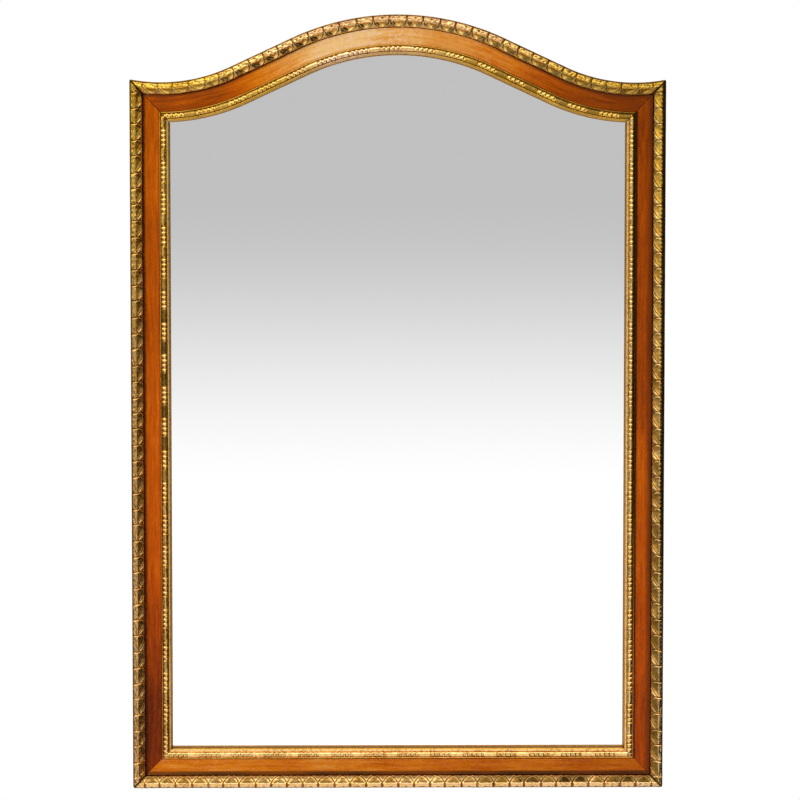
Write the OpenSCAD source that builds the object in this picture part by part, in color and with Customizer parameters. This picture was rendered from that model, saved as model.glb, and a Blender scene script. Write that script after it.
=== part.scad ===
/* [Frame] */
// Overall width across the outer edges
frame_w = 720; // [560:5:900]
// Overall height from the bottom edge to the top of the crown
frame_h = 1045; // [800:5:1300]
// Width of the rail section, from the outer edge to the sight edge
rail_w = 52; // [52:0.5:60]
// Depth from the wall to the crest of the carved edge
frame_d = 38; // [38:0.5:46]
// Radius of the two rounded bottom corners
corner_r = 5; // [2:0.5:8]

/* [Arch] */
// Radius of the outer edge over the crown
crown_r = 339; // [300:1:400]
// Radius of the outer edge in the two hollow shoulders
shoulder_r = 220; // [180:1:260]
// Steepest angle of the outer edge between crown and shoulder
slope_a = 25; // [20:0.5:30]
// Sideways run from the lowest point of a shoulder to the corner tip
tip_run = 42; // [30:1:55]

/* [Carved edge] */
// Width of the carved outer moulding
carved_w = 16.5; // [16:0.1:18]
// Height of the carved outer moulding above its seat on the core
carved_h = 16; // [14:0.1:18]
// Wanted spacing of the carved lappets, which is fitted to each rail
lappet_pitch = 21.5; // [18:0.5:26]
// Gap cut between two lappets
lappet_gap = 2.2; // [1.5:0.1:4]
// Height that the lappets stand above the ground of the moulding
lappet_rise = 1.8; // [1.6:0.1:2.5]
// Depth of the hollow scooped in each lappet
dish_depth = 1; // [0.6:0.1:1.1]

/* [Frieze] */
// Width of the groove between the carved edge and the frieze
quirk_w = 0.8; // [0.4:0.1:1.5]
// Thickness of the wood facing on the frieze
facing_t = 1.6; // [1:0.1:3]
// Depth of the frieze below the crest, at its outer side
frieze_drop = 11.2; // [10:0.1:13]
// How far the hollow face of the frieze falls towards the sight edge
frieze_fall = 3.2; // [2:0.1:4]

/* [Beaded sight edge] */
// Width of the beaded inner moulding
sight_w = 12.5; // [12:0.1:14]
// Depth of the bed of the beads below the crest
bed_drop = 12.8; // [12:0.1:14]
// Radius of one bead
bead_r = 3; // [2.6:0.1:3.1]
// Spacing of the beads in a group
bead_pitch = 6.35; // [6.3:0.05:7]
// Number of beads in a group
bead_count = 4; // [3:1:5]
// Wanted spacing of the groups, which is fitted to each rail
group_pitch = 44.2; // [42:0.2:50]
// Clear space between a bar and the bead beside it
bar_gap = 1.2; // [0.8:0.1:2]
// Thickness of the lip that runs down the sight edge
lip_t = 3; // [2.5:0.1:4]

/* [Glazing] */
// Width of the rabbet that takes the plate
rabbet_w = 8; // [7:0.5:9]
// Depth of the rabbet from the back of the frame
rabbet_d = 10.5; // [10:0.5:12]
// Thickness of the mirror plate
plate_t = 4; // [3:0.5:4]
// Thickness of the backing board
backing_t = 3; // [2:0.5:3]
// Clearance round the plate in the rabbet
plate_clear = 1.5; // [1:0.1:2.5]
// Clearance round the backing board in the rabbet
backing_clear = 1; // [0.5:0.1:2]
// Thickness of a glazing point
point_t = 0.8; // [0.5:0.1:1]
// Wanted spacing of the glazing points
point_pitch = 210; // [150:10:300]

/* [Corner keys] */
// Length of a corner key along each outer edge
key_leg = 28; // [20:1:34]
// Thickness of a corner key
key_t = 3; // [2:0.5:4]
// Height of a corner key above the back of the frame
key_h = 13; // [12:0.5:15]

/* [Hangers] */
// Distance of the hangers below the corner tips
hanger_drop = 175; // [120:5:300]
// Depth of the mortise that a hanger is let into
mortise_d = 5.5; // [5.4:0.1:6]
// Diameter of the ring's wire
wire_d = 2.5; // [2:0.1:2.6]
// Running clearance of the ring in the eye of the strap
eye_clear = 0.3; // [0.2:0.05:0.4]
// Thickness of the strap
strap_t = 1; // [0.8:0.1:1.2]
// Width of the strap
strap_w = 10; // [8:0.5:11]
// Diameter of the hanger screw
screw_d = 3; // [2.5:0.1:3.5]

/* [Hidden] */
$fn = 96;
eps = 0.01;
join = 0.02;
half_w = frame_w / 2;

// Arch: centres of the crown and of the right shoulder, and the places where the curves meet
slope_len = (half_w - tip_run - (crown_r + shoulder_r) * sin(slope_a)) / cos(slope_a);
crown_c = [0, frame_h - crown_r];
shoulder_c = [
    half_w - tip_run,
    crown_c.y + (crown_r + shoulder_r) * cos(slope_a) - slope_len * sin(slope_a)
];
tip = [half_w, shoulder_c.y - sqrt(pow(shoulder_r, 2) - pow(tip_run, 2))];
sight_corner = [
    half_w - rail_w,
    shoulder_c.y - sqrt(pow(shoulder_r + rail_w, 2) - pow(tip_run - rail_w, 2))
];
tip_a = asin(tip_run / shoulder_r);
mitre_dir = (sight_corner - tip) / norm(sight_corner - tip);

// Section: places across the rail (w, from the outer edge) and heights above the wall (h)
seat_h = frame_d - carved_h;
frieze_w0 = carved_w + quirk_w;
frieze_w1 = rail_w - sight_w;
frieze_h0 = frame_d - frieze_drop;
bed_h = frame_d - bed_drop;
sight_t = 7.2;
sight_seat_h = bed_h - sight_t;
rabbet_at = rail_w - rabbet_w;
fillet_w = 2.2;
lip_w = 2.7;
bead_line = rail_w - lip_w - bead_r;
lappet_r = (lappet_pitch - lappet_gap) / 2;
lappet_inset = 0.9;
lappet_end = carved_w - lappet_inset;

// Glazing heights
plate_h = rabbet_d - plate_t;
backing_h = plate_h - backing_t;
point_h = backing_h - point_t;
point_in = 5;
point_out = 8;
point_w = 9;
block_len = 40;

// Hanger: heights, and places across the right stile
wire_r = wire_d / 2;
eye_r = wire_r + eye_clear;
pivot_h = mortise_d - strap_t - eye_r;
pivot_w = 26;
strap_len = 22;
screw_from_pivot = 17.5;
screw_w = pivot_w - screw_from_pivot;
ring_half = 8.4;
ring_leg = 4;
head_r = 2.9;
head_h = 1.8;
slot_w = 0.8;
slot_depth = 0.8;
screw_len = 13;
point_len = 3;
pilot_clear = 0.05;
mortise_side = 2.5;
mortise_end = 1.2;
mortise_w1 = pivot_w + ring_leg + ring_half + wire_r + mortise_end;
mortise_len = 2 * (ring_half + wire_r + 2);
hanger_y = tip.y - hanger_drop;

// Profiles, each a list of [w, h] points

function frieze_face(w) =
    frieze_h0 - frieze_fall * (1 - pow((frieze_w1 - w) / (frieze_w1 - frieze_w0), 2));

function frieze_line(drop) = [
    for (i = [0:5])
        let (w = frieze_w0 + (frieze_w1 - frieze_w0) * i / 5)
            [w, frieze_face(w) - drop]
];

function reversed(list) = [for (i = [len(list) - 1:-1:0]) list[i]];

frieze_profile = concat(frieze_line(0), reversed(frieze_line(facing_t)));

core_profile = concat(
    [[0, 0], [0, seat_h], [frieze_w0, seat_h]],
    frieze_line(facing_t),
    [
        [frieze_w1, sight_seat_h], [rail_w - lip_t, sight_seat_h],
        [rail_w - lip_t, rabbet_d], [rabbet_at, rabbet_d], [rabbet_at, 0]
    ]
);

function lifted(points, rise) = [for (p = points) [p.x, p.y + rise]];

carved_top_line = [
    [1.3, frame_d - lappet_rise - 3.2], [3.6, frame_d - lappet_rise - 0.5],
    [6.6, frame_d - lappet_rise], [9.2, frame_d - lappet_rise - 1.4],
    [12.5, frame_d - lappet_rise - 4.4], [15, frame_d - lappet_rise - 6.4]
];
carved_profile = concat(
    [[0, seat_h], [0, frame_d - 8]],
    carved_top_line,
    [[carved_w, frame_d - 9.4], [carved_w, seat_h]]
);
lappet_profile = concat(
    [[0.7, frame_d - 8]],
    lifted(carved_top_line, lappet_rise),
    [[lappet_end, frame_d - 7.6], [lappet_end, frame_d - 9.8]]
);

sight_profile = [
    [frieze_w1, sight_seat_h], [frieze_w1, bed_h + 0.5], [frieze_w1 + 0.4, bed_h + 0.9],
    [frieze_w1 + fillet_w - 0.3, bed_h + 0.9], [frieze_w1 + fillet_w, bed_h],
    [rail_w - lip_w, bed_h], [rail_w - lip_w + 0.2, bed_h + 0.9], [rail_w - 1.7, bed_h + 1],
    [rail_w - 0.5, bed_h - 0.5], [rail_w, bed_h - 1.4], [rail_w, rabbet_d], [rail_w - lip_t, rabbet_d],
    [rail_w - lip_t, sight_seat_h]
];

// A reeded bar over its bed: a half round of twelve sides with a groove cut in at either side of the top
reed_groove = 0.88;
bar_profile = concat(
    [[bead_r - 0.1, -1]],
    [
        for (i = [0:12])
            let (a = 5 + i * 170 / 12, r = bead_r * (i == 4 || i == 8 ? reed_groove : 1))
                [r * cos(a), r * sin(a)]
    ],
    [[0.1 - bead_r, -1]]
);

// Paths: a place at distance s along the arch, positive to the right of the crown, on the line that
// runs w inside the outer edge. The result is [x, y, heading].
function arch_right(s, w) =
    let (
        r1 = crown_r - w,
        r2 = shoulder_r + w,
        s1 = crown_end(w),
        s2 = slope_end(w)
    )
    s <= s1
        ? let (a = s / r1 * 180 / PI) [r1 * sin(a), crown_c.y + r1 * cos(a), -a]
        : s <= s2
            ? [
                r1 * sin(slope_a) + (s - s1) * cos(slope_a),
                crown_c.y + r1 * cos(slope_a) - (s - s1) * sin(slope_a),
                -slope_a
            ]
            : let (a = slope_a - (s - s2) / r2 * 180 / PI)
                [shoulder_c.x - r2 * sin(a), shoulder_c.y - r2 * cos(a), -a];

function arch_at(s, w) =
    let (p = arch_right(abs(s), w))
    s < 0 ? [-p.x, p.y, -p.z] : p;

// Where the line w inside the outer edge meets the mitre of a top corner
function arch_mitre(w) =
    let (
        d = tip - shoulder_c,
        b = d * mitre_dir,
        c = d * d - pow(shoulder_r + w, 2)
    )
    tip + mitre_dir * (w == 0 ? 0 : -b + sqrt(b * b - c));

// Distances from the crown, on that line, to the ends of the crown, of the straight slope and of the arch
function crown_end(w) = (crown_r - w) * slope_a * PI / 180;

function slope_end(w) = crown_end(w) + slope_len;

function arch_end(w) =
    let (p = arch_mitre(w) - shoulder_c)
        slope_end(w) + (shoulder_r + w) * (slope_a + atan2(p.x, -p.y)) * PI / 180;

// Where the line w inside the outer edge of a stile meets the top mitre
function stile_top(w) = tip.y + (sight_corner.y - tip.y) * w / rail_w;

// Sweeps and placing. A rail's own frame runs along x, with y outwards and z away from the wall.

module straight_run(profile, length) {
    rotate([90, 0, 90])
        linear_extrude(length)
            polygon([for (p = profile) [-p.x, p.y]]);
}

module arch_half_run(profile) {
    translate([crown_r * sin(slope_a), crown_c.y + crown_r * cos(slope_a)])
        rotate(-slope_a)
            translate([-join, 0])
                straight_run(profile, slope_len + 2 * join);
    translate(shoulder_c)
        rotate(270 - slope_a)
            rotate_extrude(angle = slope_a + tip_a + 1)
                polygon([for (p = profile) [shoulder_r + p.x, p.y]]);
}

module arch_run(profile) {
    translate(crown_c)
        rotate(90 - slope_a)
            rotate_extrude(angle = 2 * slope_a)
                polygon([for (p = profile) [crown_r - p.x, p.y]]);
    arch_half_run(profile);
    mirror([1, 0, 0])
        arch_half_run(profile);
}

module prism(points) {
    translate([0, 0, -1])
        linear_extrude(frame_d + 2)
            polygon(points);
}

// The part of the plan that belongs to each rail, bounded by the mitres
module top_region() {
    inner = tip + mitre_dir * 1.6 * norm(sight_corner - tip);
    prism([
        [-half_w, frame_h + 5], [-half_w, tip.y], [-inner.x, inner.y],
        inner, tip, [half_w, frame_h + 5]
    ]);
}

module bottom_region() {
    inner = 1.4 * rail_w;
    prism([[-half_w, 0], [inner - half_w, inner], [half_w - inner, inner], [half_w, 0]]);
}

module right_region() {
    prism([
        [half_w, 0], tip, tip + mitre_dir * 1.4 * norm(sight_corner - tip),
        [half_w - 1.4 * rail_w, 1.4 * rail_w]
    ]);
}

// What a rounded bottom corner takes away; side is -1 on the left and 1 on the right
module corner_waste(side) {
    low_x = side > 0 ? half_w - corner_r : -half_w - eps;
    difference() {
        translate([low_x, -eps, -1])
            cube([corner_r + eps, corner_r + eps, frame_d + 2]);
        translate([side * (half_w - corner_r), corner_r, -2])
            cylinder(r = corner_r, h = frame_d + 4);
    }
}

module stand_up() {
    rotate([90, 0, 0])
        children();
}

module top_rail(profile) {
    intersection() {
        arch_run(profile);
        top_region();
    }
}

module bottom_rail(profile) {
    difference() {
        intersection() {
            translate([half_w, 0])
                rotate(180)
                    straight_run(profile, frame_w);
            bottom_region();
        }
        corner_waste(-1);
        corner_waste(1);
    }
}

module right_rail(profile) {
    difference() {
        intersection() {
            translate([half_w, tip.y])
                rotate(-90)
                    straight_run(profile, tip.y);
            right_region();
        }
        corner_waste(1);
    }
}

// Rows: the fitted count of things on a line, and the centre of each
function fitted(length, pitch) = max(1, round(length / pitch));

module along_arch(s0, s1, count, w) {
    for (i = [0:count - 1]) {
        p = arch_at(s0 + (i + 0.5) * (s1 - s0) / count, w);
        translate([p.x, p.y])
            rotate(p.z)
                translate([0, w])
                    children();
    }
}

module along_bottom(length, count) {
    for (i = [0:count - 1])
        translate([length / 2 - (i + 0.5) * length / count, 0])
            rotate(180)
                children();
}

module along_right(start, length, count) {
    for (i = [0:count - 1])
        translate([half_w, start + (i + 0.5) * length / count])
            rotate(-90)
                children();
}

// Carved edge: one lappet with its round end towards the frieze and its scooped hollow

module lappet() {
    dish_slope = atan2(3, 3.4);
    dish_at = [10.6, frame_d - 2.9];
    dish_half = 5;
    ball_r = (pow(dish_half, 2) + pow(dish_depth, 2)) / (2 * dish_depth);
    reach = ball_r - dish_depth;
    difference() {
        intersection() {
            translate([-lappet_r, 0])
                straight_run(lappet_profile, 2 * lappet_r);
            translate([0, lappet_r - lappet_end, 0])
                cylinder(r = lappet_r, h = frame_d + 2);
        }
        translate([0, -dish_at.x - reach * sin(dish_slope), dish_at.y + reach * cos(dish_slope)])
            sphere(r = ball_r);
    }
}

// Beaded sight edge: one group of beads and the reeded bar after it

module bead_group(pitch) {
    bead_run = (bead_count - 1) * bead_pitch;
    bar_len = pitch - bead_run - 2 * (bead_r + bar_gap);
    translate([-pitch / 2, -bead_line, bed_h]) {
        translate([bead_r + bar_gap / 2, 0, 0])
            for (i = [0:bead_count - 1])
                translate([i * bead_pitch, 0, 0])
                    sphere(r = bead_r);
        translate([pitch - bar_len - bar_gap / 2, 0, 0])
            rotate([90, 0, 90])
                linear_extrude(bar_len)
                    polygon(bar_profile);
    }
}

// Rails, one module for each piece

// The lappets of the arch are fitted to each stretch of it, so that none lies across two of them
module lappets_on(s0, s1) {
    along_arch(s0, s1, fitted(s1 - s0, lappet_pitch), lappet_end)
        lappet();
}

module carved_top() {
    s1 = crown_end(lappet_end);
    s2 = slope_end(lappet_end);
    s3 = arch_end(lappet_end);
    color("goldenrod")
        stand_up() {
            top_rail(carved_profile);
            lappets_on(-s1, s1);
            for (side = [0, 1])
                mirror([side, 0, 0]) {
                    lappets_on(s1, s2);
                    lappets_on(s2, s3);
                }
        }
}

module carved_bottom() {
    length = frame_w - 2 * lappet_end;
    color("goldenrod")
        stand_up() {
            bottom_rail(carved_profile);
            along_bottom(length, fitted(length, lappet_pitch))
                lappet();
        }
}

module carved_right() {
    length = stile_top(lappet_end) - lappet_end;
    color("goldenrod")
        stand_up() {
            right_rail(carved_profile);
            along_right(lappet_end, length, fitted(length, lappet_pitch))
                lappet();
        }
}

module carved_left() {
    mirror([1, 0, 0])
        carved_right();
}

module frieze_top() {
    color("sienna")
        stand_up()
            top_rail(frieze_profile);
}

module frieze_bottom() {
    color("sienna")
        stand_up()
            bottom_rail(frieze_profile);
}

module frieze_right() {
    color("sienna")
        stand_up()
            right_rail(frieze_profile);
}

module frieze_left() {
    mirror([1, 0, 0])
        frieze_right();
}

module beading_top() {
    half = arch_end(bead_line) - 2;
    count = fitted(2 * half, group_pitch);
    color("darkgoldenrod")
        stand_up() {
            top_rail(sight_profile);
            along_arch(-half, half, count, bead_line)
                bead_group(2 * half / count);
        }
}

module beading_bottom() {
    length = frame_w - 2 * bead_line - 4;
    count = fitted(length, group_pitch);
    color("darkgoldenrod")
        stand_up() {
            bottom_rail(sight_profile);
            along_bottom(length, count)
                bead_group(length / count);
        }
}

module beading_right() {
    length = stile_top(bead_line) - bead_line - 4;
    count = fitted(length, group_pitch);
    color("darkgoldenrod")
        stand_up() {
            right_rail(sight_profile);
            along_right(bead_line + 2, length, count)
                bead_group(length / count);
        }
}

module beading_left() {
    mirror([1, 0, 0])
        beading_right();
}

module corner_key(side, top) {
    corner = top ? [side * tip.x, tip.y] : [side * half_w, 0];
    up = top ? -1 : 1;
    translate([0, 0, key_h])
        linear_extrude(key_t)
            difference() {
                polygon([corner, corner + [0, up * key_leg], corner - [side * key_leg, 0]]);
                if (top)
                    translate([side * shoulder_c.x, shoulder_c.y])
                        circle(r = shoulder_r, $fn = 360);
            }
}

module key_set() {
    for (side = [-1, 1])
        for (top = [false, true])
            corner_key(side, top);
}

module corner_keys() {
    color("tan")
        stand_up()
            difference() {
                key_set();
                corner_waste(-1);
                corner_waste(1);
            }
}

// Glazing points: a thin lozenge driven into the rabbet wall, over the back of the board
module glazing_point() {
    translate([0, -rabbet_at, point_h])
        linear_extrude(point_t)
            polygon([
                [-point_w / 2, 0], [-1, point_in], [1, point_in], [point_w / 2, 0],
                [1.5, -point_out], [-1.5, -point_out]
            ]);
}

module top_points() {
    half = arch_end(rabbet_at);
    along_arch(-half, half, fitted(2 * half, point_pitch), rabbet_at)
        glazing_point();
}

module bottom_points() {
    length = frame_w - 2 * rabbet_at;
    along_bottom(length, fitted(length, point_pitch))
        glazing_point();
}

module right_points() {
    length = stile_top(rabbet_at) - rabbet_at;
    along_right(rabbet_at, length, fitted(length, point_pitch))
        glazing_point();
}

module glazing_points() {
    color("gray")
        stand_up() {
            top_points();
            bottom_points();
            right_points();
            mirror([1, 0, 0])
                right_points();
        }
}

module mortise() {
    translate([half_w - mortise_w1, hanger_y - mortise_len / 2, -1])
        cube([mortise_w1 - mortise_side, mortise_len, mortise_d + 1]);
}

module pilot_hole() {
    translate([half_w - screw_w, hanger_y, mortise_d - 1])
        cylinder(d = screw_d + 2 * pilot_clear, h = screw_len - strap_t + 1 + pilot_clear);
}

module core_top() {
    color("burlywood")
        stand_up()
            difference() {
                top_rail(core_profile);
                top_points();
                corner_key(-1, true);
                corner_key(1, true);
            }
}

module core_bottom() {
    color("burlywood")
        stand_up()
            difference() {
                bottom_rail(core_profile);
                bottom_points();
                corner_key(-1, false);
                corner_key(1, false);
            }
}

module core_right() {
    color("burlywood")
        stand_up()
            difference() {
                right_rail(core_profile);
                right_points();
                corner_key(1, true);
                corner_key(1, false);
                mortise();
                pilot_hole();
            }
}

module core_left() {
    mirror([1, 0, 0])
        core_right();
}

// A flat panel that follows the whole outline, w inside the outer edge
module panel(w, thickness) {
    r1 = crown_r - w;
    r2 = shoulder_r + w;
    x = half_w - w;
    t1 = [r1 * sin(slope_a), crown_c.y + r1 * cos(slope_a)];
    t2 = [shoulder_c.x - r2 * sin(slope_a), shoulder_c.y - r2 * cos(slope_a)];
    right = [[x, w], [x, shoulder_c.y], shoulder_c, t2, t1];
    linear_extrude(thickness)
        difference() {
            union() {
                polygon(concat(right, [for (p = reversed(right)) [-p.x, p.y]]));
                intersection() {
                    translate(crown_c)
                        circle(r = r1, $fn = 360);
                    translate([-t1.x, t1.y - eps])
                        square([2 * t1.x, r1]);
                }
            }
            for (side = [-1, 1])
                translate([side * shoulder_c.x, shoulder_c.y])
                    circle(r = r2, $fn = 360);
        }
}

module mirror_plate() {
    color("lightsteelblue")
        stand_up()
            translate([0, 0, plate_h])
                panel(rabbet_at + plate_clear, plate_t);
}

module backing_board() {
    color("peru")
        stand_up()
            translate([0, 0, backing_h])
                panel(rabbet_at + backing_clear, backing_t);
}

module setting_blocks() {
    color("wheat")
        stand_up()
            for (side = [-1, 1])
                translate([side * frame_w / 4 - block_len / 2, rabbet_at, plate_h])
                    cube([block_len, plate_clear, plate_t]);
}

// Hangers, modelled on the right stile and mirrored for the left

module hanger_strap_right() {
    color("silver")
        stand_up()
            translate([half_w, hanger_y, 0]) {
                translate([-pivot_w, strap_w / 2, pivot_h])
                    rotate([90, 0, 0])
                        rotate([0, 0, 90])
                            rotate_extrude(angle = 300)
                                translate([eye_r, 0])
                                    square([strap_t, strap_w]);
                difference() {
                    translate([-pivot_w, -strap_w / 2, mortise_d - strap_t])
                        cube([strap_len, strap_w, strap_t]);
                    translate([-screw_w, 0, 0])
                        cylinder(d = screw_d + 4 * pilot_clear, h = mortise_d + 1);
                }
            }
}

module hanger_strap_left() {
    mirror([1, 0, 0])
        hanger_strap_right();
}

module hanger_ring_right() {
    color("gainsboro")
        stand_up()
            translate([half_w - pivot_w, hanger_y, pivot_h]) {
                translate([0, -ring_half, 0])
                    rotate([-90, 0, 0])
                        cylinder(r = wire_r, h = 2 * ring_half);
                for (side = [-1, 1])
                    translate([0, side * ring_half, 0]) {
                        sphere(r = wire_r);
                        rotate([0, -90, 0])
                            cylinder(r = wire_r, h = ring_leg);
                    }
                translate([-ring_leg, 0, 0])
                    rotate([0, 0, 90])
                        rotate_extrude(angle = 180)
                            translate([ring_half, 0])
                                circle(r = wire_r);
            }
}

module hanger_ring_left() {
    mirror([1, 0, 0])
        hanger_ring_right();
}

module hanger_screw() {
    translate([half_w - screw_w, hanger_y, mortise_d - strap_t]) {
        cylinder(d = screw_d, h = screw_len - point_len);
        translate([0, 0, screw_len - point_len])
            cylinder(d1 = screw_d, d2 = 0.6, h = point_len);
        difference() {
            rotate_extrude()
                intersection() {
                    translate([0, (pow(head_r, 2) - pow(head_h, 2)) / (2 * head_h)])
                        circle(r = (pow(head_r, 2) + pow(head_h, 2)) / (2 * head_h));
                    translate([0, -head_h])
                        square([head_r, head_h]);
                }
            translate([-head_r, -slot_w / 2, -head_h - 1])
                cube([2 * head_r, slot_w, slot_depth + 1]);
        }
    }
}

module hanger_screws() {
    color("silver")
        stand_up() {
            hanger_screw();
            mirror([1, 0, 0])
                hanger_screw();
        }
}

core_top();
core_bottom();
core_left();
core_right();
corner_keys();
frieze_top();
frieze_bottom();
frieze_left();
frieze_right();
carved_top();
carved_bottom();
carved_left();
carved_right();
beading_top();
beading_bottom();
beading_left();
beading_right();
mirror_plate();
setting_blocks();
backing_board();
glazing_points();
hanger_strap_left();
hanger_strap_right();
hanger_ring_left();
hanger_ring_right();
hanger_screws();
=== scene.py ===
"""Looks of the framed wall mirror: gilt mouldings, polished frieze, plate, back, light and camera."""

import math
from types import SimpleNamespace as Values

import bmesh
import bpy
import numpy as np
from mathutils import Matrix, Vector


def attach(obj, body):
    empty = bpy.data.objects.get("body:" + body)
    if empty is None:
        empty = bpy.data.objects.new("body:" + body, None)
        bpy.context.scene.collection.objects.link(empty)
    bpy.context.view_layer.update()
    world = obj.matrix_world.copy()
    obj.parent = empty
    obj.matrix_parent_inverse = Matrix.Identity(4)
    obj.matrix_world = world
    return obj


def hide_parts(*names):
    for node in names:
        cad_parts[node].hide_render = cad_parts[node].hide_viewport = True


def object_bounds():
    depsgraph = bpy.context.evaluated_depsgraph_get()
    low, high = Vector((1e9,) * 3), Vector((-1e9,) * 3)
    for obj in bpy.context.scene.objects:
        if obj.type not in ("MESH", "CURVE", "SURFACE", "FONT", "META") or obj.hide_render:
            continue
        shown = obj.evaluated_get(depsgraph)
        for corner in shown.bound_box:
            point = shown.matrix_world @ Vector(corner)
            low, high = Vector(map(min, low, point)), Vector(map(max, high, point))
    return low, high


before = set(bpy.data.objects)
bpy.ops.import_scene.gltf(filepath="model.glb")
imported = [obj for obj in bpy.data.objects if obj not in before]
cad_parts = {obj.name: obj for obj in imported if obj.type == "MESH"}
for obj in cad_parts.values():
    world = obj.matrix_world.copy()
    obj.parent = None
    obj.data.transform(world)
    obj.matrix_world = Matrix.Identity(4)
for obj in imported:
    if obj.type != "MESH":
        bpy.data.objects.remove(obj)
cad_low, cad_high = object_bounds()

# Driving sizes in millimetres. In a section, w runs inwards from the outer edge and h out from the wall
MM = 0.001
FRAME_W = (cad_high[0] - cad_low[0]) / MM
FRAME_H = cad_high[2] / MM
FRAME_D = -cad_low[1] / MM
HALF_W = FRAME_W / 2
RAIL_W = 52.0
CROWN_R = 339.0
SHOULDER_R = 220.0
SLOPE_A = math.radians(25)
TIP_RUN = 42.0
CARVED_W = 16.5
SEAT_H = FRAME_D - 16
QUIRK_W = 0.8
BEADING_W = 12.5
FACING_T = 1.6
FRIEZE_W0 = CARVED_W + QUIRK_W
FRIEZE_W1 = RAIL_W - BEADING_W
FRIEZE_H0 = FRAME_D - 11.2
FRIEZE_FALL = 3.2
BED_H = FRAME_D - 12.8
SIGHT_SEAT_H = BED_H - 7.2
RABBET_D = 10.5
LIP_T = 3.0
LIP_W = 3.5
FILLET_W = 1.6
BEAD_R = 3.0
# The turned row is a little wider than it is high
BEAD_SPREAD = 1.2
BEAD_HALF_W = BEAD_R * BEAD_SPREAD
BEAD_LINE = RAIL_W - LIP_W - BEAD_HALF_W
BEAD_PITCH = 6.35
BEAD_COUNT = 4
BAR_GAP = 1.2
GROUP_PITCH = 44.2
LAPPET_PITCH = 21.5
CORNER_R = 5.0
TIP_R = 2.5
# How far the round of a tip is set below the tip, in radii
TIP_SINK = 1.35
# Half the width of the open joint at the low and high end of each rail
MITRE_GAP = {"top": (0.65, 0.5), "bottom": (0.3, 0.3), "left": (0.3, 0.65), "right": (0.3, 0.5)}
# Dirt reaches this far from the mitres of the gilding
JOINT_DIRT = 2.2
# Points closer than this, in metres, become one, and sharper edges than this are shaded sharp
WELD = 2e-6
SHARP_A = math.radians(50)

# Arch: centres of the crown and of the right shoulder, and the straight slope between them
SLOPE_LEN = (HALF_W - TIP_RUN - (CROWN_R + SHOULDER_R) * math.sin(SLOPE_A)) / math.cos(SLOPE_A)
CROWN_Z = FRAME_H - CROWN_R
SHOULDER_X = HALF_W - TIP_RUN
SHOULDER_Z = CROWN_Z + (CROWN_R + SHOULDER_R) * math.cos(SLOPE_A) - SLOPE_LEN * math.sin(SLOPE_A)
TIP = np.array([HALF_W, SHOULDER_Z - math.sqrt(SHOULDER_R**2 - TIP_RUN**2)])
SIGHT_CORNER = np.array([
    HALF_W - RAIL_W,
    SHOULDER_Z - math.sqrt((SHOULDER_R + RAIL_W)**2 - (TIP_RUN - RAIL_W)**2),
])


# Curves and noise

def smooth(low, high, x):
    """A smooth step from 0 at low to 1 at high, which may be the smaller of the two."""
    t = np.clip((x - low) / (high - low), 0, 1)
    return t * t * (3 - 2 * t)


def bell(x, at, spread):
    """1 at a place, falling off to both sides."""
    return np.exp(-((x - at) / spread)**2)


def ends(low, high):
    """An even change from the low to the high end of a rail, as places along the rail and values there."""
    return (0, 1), (low, high)


def blend(pair, place):
    """The first of two values at the low end of a rail, and the second from near the middle on."""
    mix = smooth(0.0, 0.45, place)
    return pair[0] * (1 - mix) + pair[1] * mix


def ripple(seed, x, y, scale):
    """Smooth seeded noise of crossing waves, mostly between -1 and 1, with features of the given size."""
    waves, peak = 7, 4
    rng = np.random.default_rng(seed)
    total = np.zeros(np.broadcast(x, y).shape)
    for _ in range(waves):
        angle = rng.uniform(0, 2 * math.pi)
        wave = 2 * math.pi / (scale * rng.uniform(0.7, 1.6))
        phase = rng.uniform(0, 2 * math.pi)
        total = total + np.sin((x * math.cos(angle) + y * math.sin(angle)) * wave + phase)
    return total / peak


# Rails

class ArchRail:
    """The top rail. s runs along the line ref inside the outer edge, from the crown to the right."""

    def __init__(self, ref):
        self.r1 = CROWN_R - ref
        self.r2 = SHOULDER_R + ref
        self.s1 = self.r1 * SLOPE_A
        self.s2 = self.s1 + SLOPE_LEN

    def place(self, s, w):
        m = np.abs(s)
        a1 = m / self.r1
        a2 = SLOPE_A - (m - self.s2) / self.r2
        sin_a, cos_a = math.sin(SLOPE_A), math.cos(SLOPE_A)
        crown = ((CROWN_R - w) * np.sin(a1), CROWN_Z + (CROWN_R - w) * np.cos(a1))
        slope = (
            (CROWN_R - w) * sin_a + (m - self.s1) * cos_a,
            CROWN_Z + (CROWN_R - w) * cos_a - (m - self.s1) * sin_a,
        )
        hollow = (
            SHOULDER_X - (SHOULDER_R + w) * np.sin(a2),
            SHOULDER_Z - (SHOULDER_R + w) * np.cos(a2),
        )
        on_crown, on_slope = m <= self.s1, m <= self.s2
        x = np.where(on_crown, crown[0], np.where(on_slope, slope[0], hollow[0]))
        z = np.where(on_crown, crown[1], np.where(on_slope, slope[1], hollow[1]))
        return np.where(s < 0, -x, x), z

    def high(self, w):
        """Where the line w inside the outer edge meets the right mitre."""
        along = (SIGHT_CORNER - TIP) / np.linalg.norm(SIGHT_CORNER - TIP)
        start = TIP - np.array([SHOULDER_X, SHOULDER_Z])
        b = start @ along
        c = start @ start - (SHOULDER_R + w)**2
        t = np.where(w <= 0, 0, -b + np.sqrt(np.maximum(b * b - c, 0)))
        px = start[0] + along[0] * t
        pz = start[1] + along[1] * t
        return self.s2 + self.r2 * (SLOPE_A + np.arctan2(px, -pz))

    def low(self, w):
        return -self.high(w)


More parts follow.
